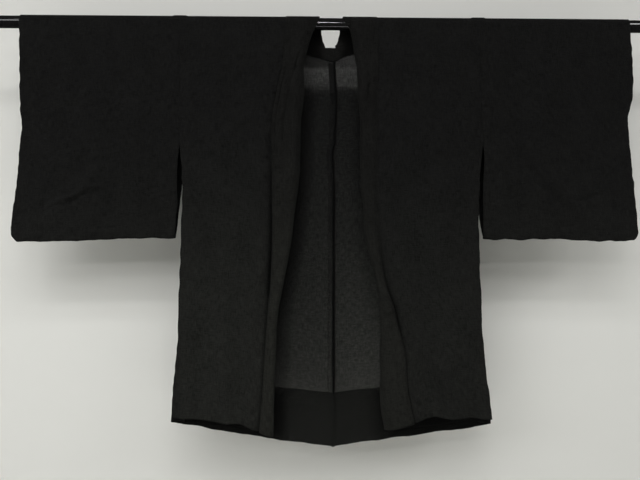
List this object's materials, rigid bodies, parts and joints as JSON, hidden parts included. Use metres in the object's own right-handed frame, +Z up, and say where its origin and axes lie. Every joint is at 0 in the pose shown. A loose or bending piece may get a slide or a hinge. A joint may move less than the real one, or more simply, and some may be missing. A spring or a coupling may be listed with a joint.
{
  "type": "haori jacket on a hanging rod",
  "caption": "Open-fronted black crepe haori jacket hung flat through both sleeves on a round black rod, its long collar folded over behind the neck.",
  "frame": {"origin": "on the hanging rod's axis, at the jacket's centre line", "axes": "+X to the right of someone facing the open fronts, along the rod; +Y away from that person, towards the back panels; +Z up"},
  "size_m": [1.44, 0.0654, 0.9198],
  "materials": {
    "crepe": "matt black silk crepe, slightly sheer in a single layer",
    "collar_crepe": "matt black silk crepe, several layers thick",
    "rod_lacquer": "glossy black lacquer"
  },
  "bodies": {
    "root": {"rod": "rod_lacquer", "body_panel_left": "crepe", "body_panel_right": "crepe", "sleeve_left": "crepe", "sleeve_right": "crepe", "gusset_left": "crepe", "gusset_right": "crepe", "hem_facing_left": "crepe", "hem_facing_right": "crepe", "centre_seam_allowance": "crepe", "collar": "collar_crepe"}
  },
  "joints": []
}
